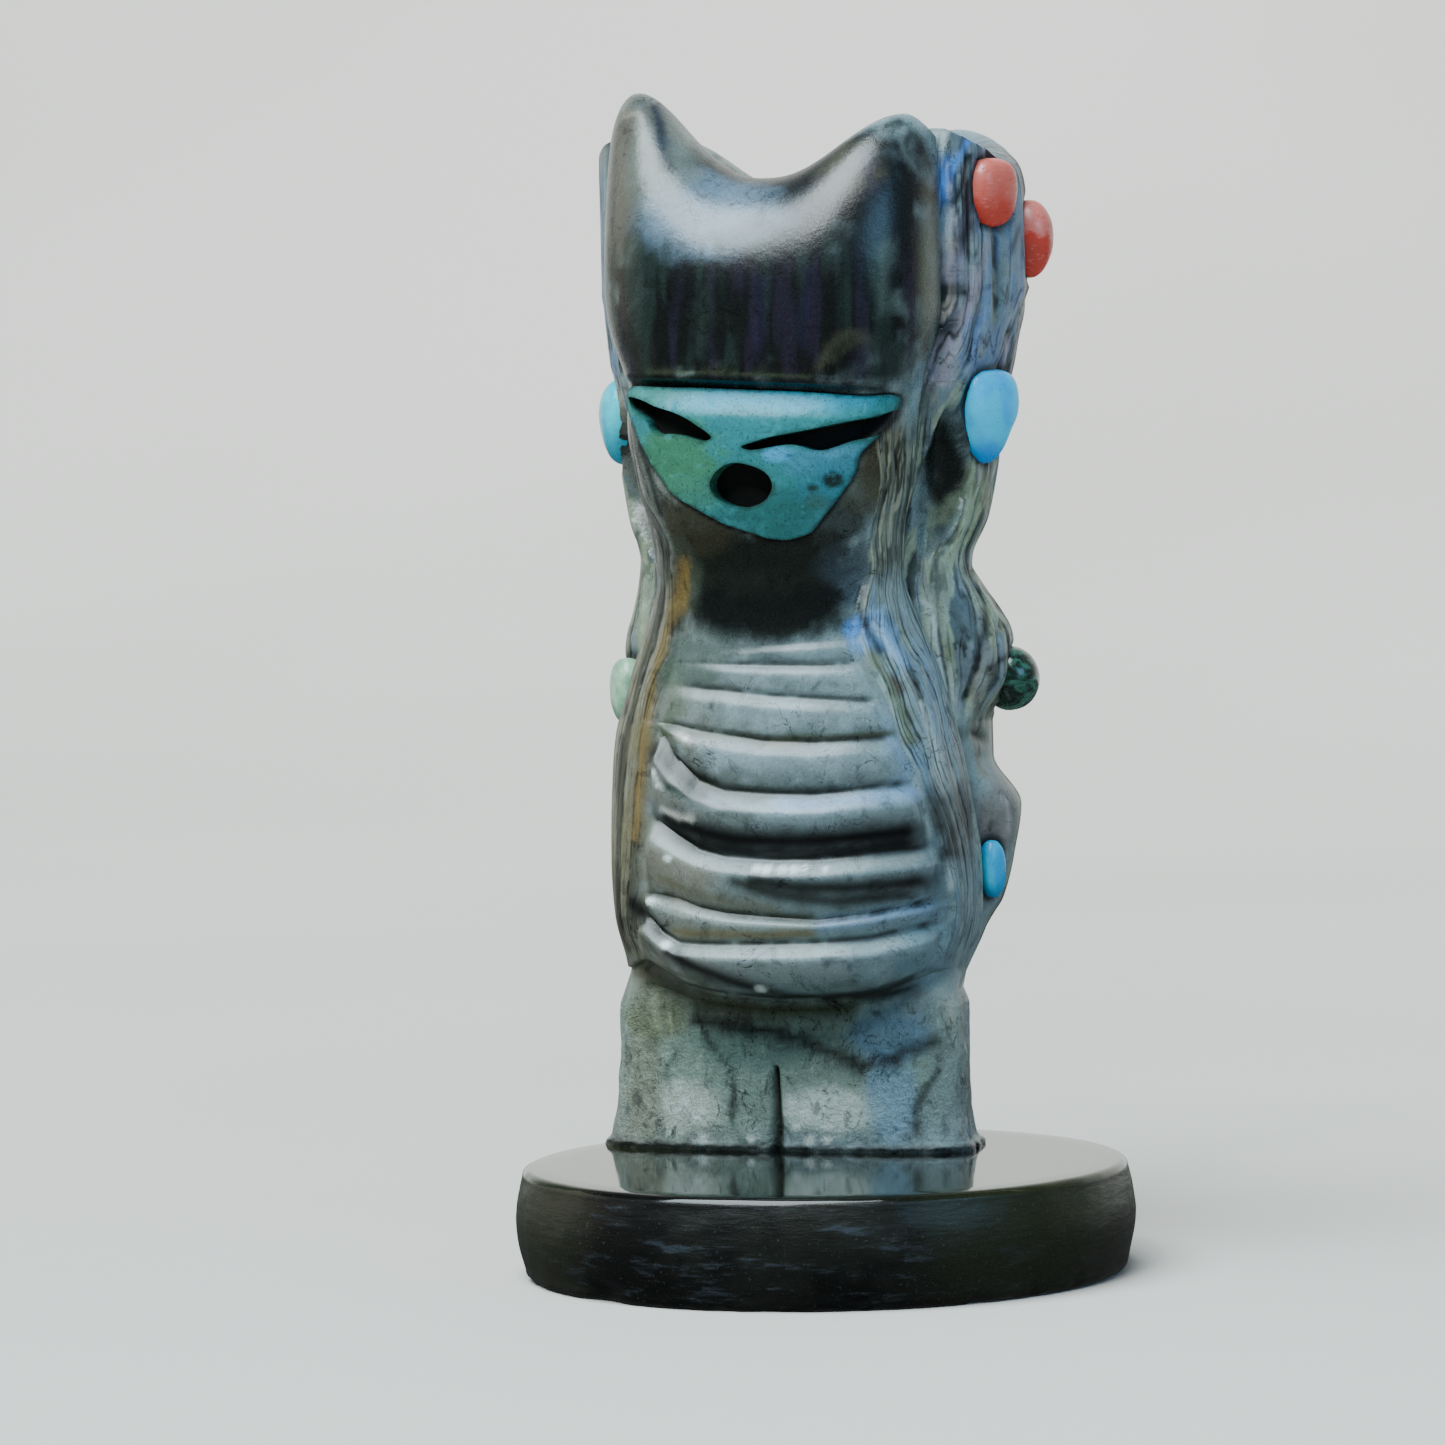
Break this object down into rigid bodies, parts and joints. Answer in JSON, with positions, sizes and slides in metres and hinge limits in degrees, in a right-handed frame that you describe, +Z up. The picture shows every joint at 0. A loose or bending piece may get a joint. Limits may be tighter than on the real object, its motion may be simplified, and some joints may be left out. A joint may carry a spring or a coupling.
{
  "type": "stone fetish carving",
  "caption": "Small stone maiden carving with a horned crown, a turquoise mask and set stones, standing towards the back of a round polished black base.",
  "frame": {"origin": "centre of the base's underside, which is the middle of the bounding box's bottom", "axes": "+Z up, along the height of the figure; the masked front of the figure looks along -Y; +X is to the right of a viewer who faces the mask"},
  "size_m": [0.0358, 0.0358, 0.0685],
  "materials": {
    "black_stone": "polished",
    "veined_marble": "polished, with tool marks on the foot",
    "turquoise": "satin",
    "sky_turquoise": "polished",
    "coral": "satin",
    "dark_green_stone": "polished",
    "mint_stone": "satin"
  },
  "bodies": {
    "root": {"base_slab": "black_stone", "stone_figure": "veined_marble", "turquoise_mask": "turquoise", "ear_stone_right": "sky_turquoise", "ear_stone_left": "sky_turquoise", "hip_stone_right": "sky_turquoise", "coral_front_right": "coral", "coral_rear_right": "coral", "coral_rear_left": "coral", "elbow_bead_right": "dark_green_stone", "elbow_stone_left": "mint_stone"}
  },
  "joints": []
}
